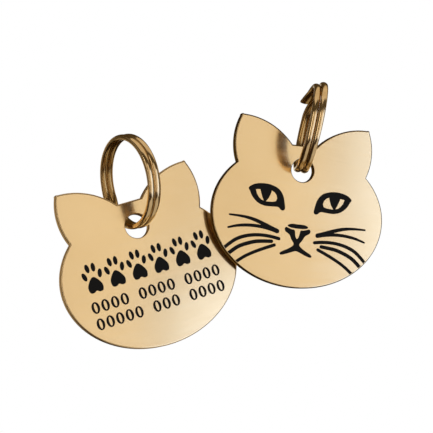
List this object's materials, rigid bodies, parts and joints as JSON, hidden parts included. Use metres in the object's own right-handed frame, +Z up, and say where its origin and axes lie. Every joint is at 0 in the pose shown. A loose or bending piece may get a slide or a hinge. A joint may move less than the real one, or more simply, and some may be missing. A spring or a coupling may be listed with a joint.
{
  "type": "pet id tag",
  "caption": "cat-head pet id tags of thin gold-coloured metal, hanging on flat-wire split rings, with a black-filled cat face and engraved rows",
  "frame": {"origin": "centre of the front tag's split ring, where it takes the collar's loop", "axes": "+X along the pair towards the front tag's side, +Y away from the viewer, through the tags, +Z up"},
  "size_m": [0.0455, 0.0185, 0.0366],
  "materials": {
    "tag_metal": "polished, gold-coloured",
    "ring_metal": "polished, dark gold",
    "black_fill": "black enamel, satin"
  },
  "bodies": {
    "rings": {"front_split_ring": "ring_metal", "turned_split_ring": "ring_metal"},
    "front_tag": {"front_tag_plate": "tag_metal", "front_tag_left_eye": "black_fill", "front_tag_right_eye": "black_fill", "front_tag_nose": "black_fill", "front_tag_mouth": "black_fill", "front_tag_left_whiskers": "black_fill", "front_tag_right_whiskers": "black_fill", "front_tag_paw_row": "black_fill", "front_tag_second_row": "black_fill", "front_tag_third_row": "black_fill"},
    "turned_tag": {"turned_tag_plate": "tag_metal", "turned_tag_left_eye": "black_fill", "turned_tag_right_eye": "black_fill", "turned_tag_nose": "black_fill", "turned_tag_mouth": "black_fill", "turned_tag_left_whiskers": "black_fill", "turned_tag_right_whiskers": "black_fill", "turned_tag_paw_row": "black_fill", "turned_tag_second_row": "black_fill", "turned_tag_third_row": "black_fill"}
  },
  "joints": [
    {"name": "front_tag_swing", "type": "hinge", "parent": "rings", "child": "front_tag", "pos_m": [-0.00116, 0.00091, -0.00597], "axis": [-0.2751, 0.9595, -0.061], "range_deg": [-35, 35]},
    {"name": "turned_tag_swing", "type": "hinge", "parent": "rings", "child": "turned_tag", "pos_m": [-0.0241, -0.00547, -0.01377], "axis": [-0.3535, 0.9208, -0.165], "range_deg": [-35, 35]}
  ]
}
